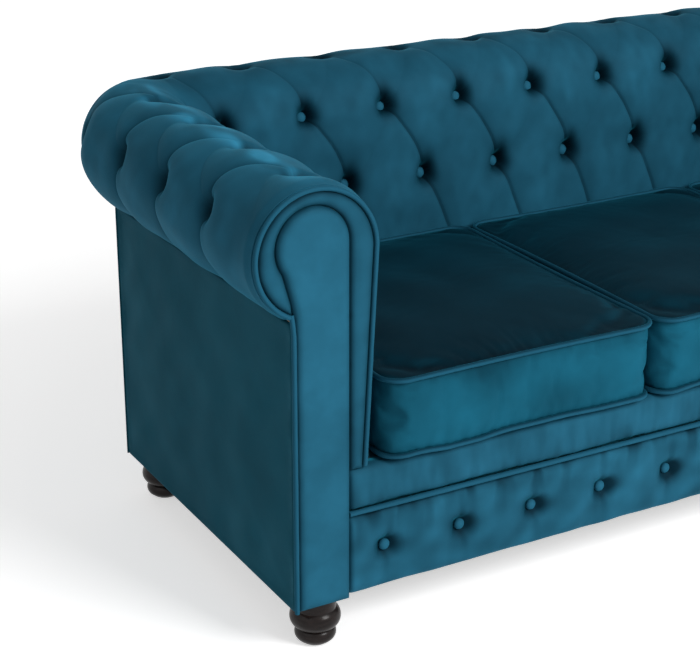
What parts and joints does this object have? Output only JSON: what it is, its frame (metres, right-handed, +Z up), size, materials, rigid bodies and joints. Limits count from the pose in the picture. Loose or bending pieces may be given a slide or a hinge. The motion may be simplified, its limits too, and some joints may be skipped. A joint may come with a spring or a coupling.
{
  "type": "chesterfield sofa",
  "caption": "Upholstered sofa with rolled, deep-buttoned arms and back at one height, a buttoned front rail, loose boxed cushions and turned feet.",
  "frame": {"origin": "on the floor under the middle of the sofa's overall length and depth", "axes": "+X along the sofa, to the right of a viewer who faces its front; +Y from the front towards the back; +Z up"},
  "size_m": [1.9242, 0.8114, 0.7341],
  "materials": {
    "velvet": "matte",
    "velvet_cord": "matte",
    "velvet_button": "matte",
    "velvet_panel": "matte",
    "platform_cloth": "matte",
    "lining_cloth": "matte",
    "webbing": "matte",
    "foam": "matte",
    "timber": "matte",
    "lacquer": "gloss",
    "spring_steel": "satin",
    "zinc": "satin"
  },
  "bodies": {
    "frame": {"left_outer_panel": "velvet_panel", "right_outer_panel": "velvet_panel", "rear_outer_panel": "velvet_panel", "left_facing_panel": "velvet", "right_facing_panel": "velvet", "left_facing_band": "velvet", "right_facing_band": "velvet", "left_facing_piping": "velvet_cord", "right_facing_piping": "velvet_cord", "left_corner_piping": "velvet_cord", "right_corner_piping": "velvet_cord", "left_arm_pad": "velvet", "right_arm_pad": "velvet", "back_pad": "velvet", "left_arm_buttons": "velvet_button", "right_arm_buttons": "velvet_button", "back_buttons": "velvet_button", "front_rail_pad": "velvet", "front_rail_buttons": "velvet_button", "front_rail_piping": "velvet_cord", "seat_border": "velvet", "left_scroll_board": "timber", "right_scroll_board": "timber", "left_arm_formers": "timber", "right_arm_formers": "timber", "left_arm_lining": "webbing", "right_arm_lining": "webbing", "left_arm_batten": "timber", "right_arm_batten": "timber", "back_formers": "timber", "back_lining": "webbing", "back_batten": "timber", "front_seat_rail": "timber", "rear_seat_rail": "timber", "side_seat_rails": "timber", "cross_braces": "timber", "corner_blocks": "timber", "seat_springs": "spring_steel", "spring_clips": "zinc", "seat_platform": "platform_cloth", "dust_cover": "lining_cloth", "front_left_foot": "lacquer", "front_right_foot": "lacquer", "rear_left_foot": "lacquer", "rear_right_foot": "lacquer", "foot_plates": "zinc", "hanger_bolts": "zinc"},
    "left_cushion": {"left_cushion_cover": "velvet", "left_cushion_core": "foam", "left_cushion_top_piping": "velvet_cord", "left_cushion_lower_piping": "velvet_cord"},
    "middle_cushion": {"middle_cushion_cover": "velvet", "middle_cushion_core": "foam", "middle_cushion_top_piping": "velvet_cord", "middle_cushion_lower_piping": "velvet_cord"},
    "right_cushion": {"right_cushion_cover": "velvet", "right_cushion_core": "foam", "right_cushion_top_piping": "velvet_cord", "right_cushion_lower_piping": "velvet_cord"}
  },
  "joints": [
    {"name": "left_cushion_lift", "type": "slide", "parent": "frame", "child": "left_cushion", "axis": [0, 0, 1], "range_m": [0, 0.48]},
    {"name": "middle_cushion_lift", "type": "slide", "parent": "frame", "child": "middle_cushion", "axis": [0, 0, 1], "range_m": [0, 0.48]},
    {"name": "right_cushion_lift", "type": "slide", "parent": "frame", "child": "right_cushion", "axis": [0, 0, 1], "range_m": [0, 0.48]}
  ]
}
